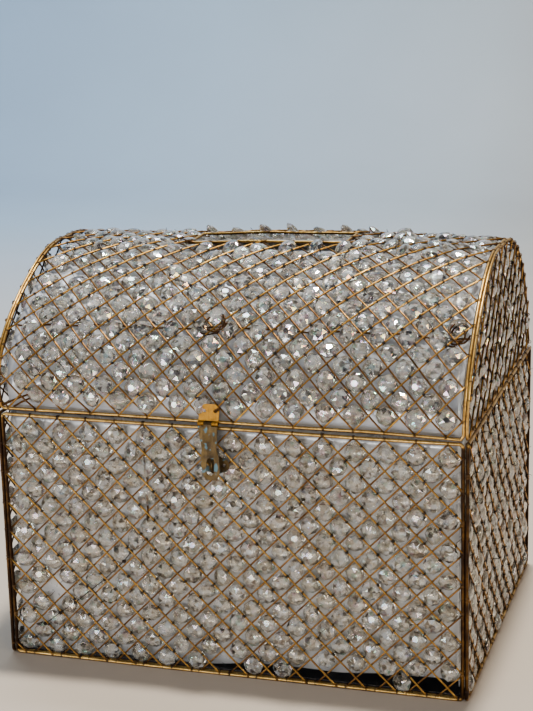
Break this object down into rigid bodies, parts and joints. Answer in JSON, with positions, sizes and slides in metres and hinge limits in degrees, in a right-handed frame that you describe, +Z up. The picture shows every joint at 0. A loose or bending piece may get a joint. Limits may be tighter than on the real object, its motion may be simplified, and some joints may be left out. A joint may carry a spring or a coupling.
{
  "type": "wedding card box",
  "caption": "Rectangular card box of gold wire mesh with a barrel lid, strung all over with faceted glass beads, with a card slot in the crown and a hasp in front.",
  "frame": {"origin": "middle of the underside, at the height of the surface that the box stands on", "axes": "+X to the right seen from the front, +Y to the back, +Z up"},
  "size_m": [0.366, 0.2978, 0.3137],
  "materials": {
    "frame_gold": "antique gold wire, satin",
    "mesh_gold": "antique gold wire, darker in the hollows",
    "crystal": "clear faceted glass",
    "lining": "pale grey sheet, semi-gloss",
    "bottom_black": "black sheet, glossy",
    "hasp_brass": "ochre lacquered brass",
    "strap_bronze": "worn brown bronze"
  },
  "bodies": {
    "base": {"back_crystals": "crystal", "back_frame": "frame_gold", "back_liner": "lining", "back_mesh_falling": "mesh_gold", "back_mesh_rising": "mesh_gold", "bottom_frame": "frame_gold", "bottom_plate": "bottom_black", "front_crystals": "crystal", "front_frame": "frame_gold", "front_liner": "lining", "front_mesh_falling": "mesh_gold", "front_mesh_rising": "mesh_gold", "front_stiffener": "frame_gold", "hinge_base_leaf_left": "hasp_brass", "hinge_base_leaf_right": "hasp_brass", "hinge_pin_left": "frame_gold", "hinge_pin_right": "frame_gold", "left_crystals": "crystal", "left_frame": "frame_gold", "left_liner": "lining", "left_mesh_falling": "mesh_gold", "left_mesh_rising": "mesh_gold", "right_crystals": "crystal", "right_frame": "frame_gold", "right_liner": "lining", "right_mesh_falling": "mesh_gold", "right_mesh_rising": "mesh_gold", "staple": "strap_bronze", "staple_plate": "strap_bronze"},
    "lid": {"dome_crystals": "crystal", "dome_frame": "frame_gold", "dome_liner": "lining", "dome_mesh_falling": "mesh_gold", "dome_mesh_rising": "mesh_gold", "hasp_pin": "frame_gold", "hasp_plate": "hasp_brass", "hinge_lid_leaf_left": "hasp_brass", "hinge_lid_leaf_right": "hasp_brass", "lid_left_crystals": "crystal", "lid_left_frame": "frame_gold", "lid_left_liner": "lining", "lid_left_mesh_falling": "mesh_gold", "lid_left_mesh_rising": "mesh_gold", "lid_right_crystals": "crystal", "lid_right_frame": "frame_gold", "lid_right_liner": "lining", "lid_right_mesh_falling": "mesh_gold", "lid_right_mesh_rising": "mesh_gold", "lid_stiffener": "frame_gold", "slot_frame": "frame_gold"},
    "hasp": {"hasp_strap": "strap_bronze"}
  },
  "joints": [
    {"name": "lid_hinge", "type": "hinge", "parent": "base", "child": "lid", "pos_m": [0, 0.1447, 0.2002], "axis": [-1, 0, 0], "range_deg": [0, 105]},
    {"name": "hasp_hinge", "type": "hinge", "parent": "lid", "child": "hasp", "pos_m": [-0.011, -0.1444, 0.202], "axis": [-1, 0, 0], "range_deg": [-9, 120]}
  ]
}
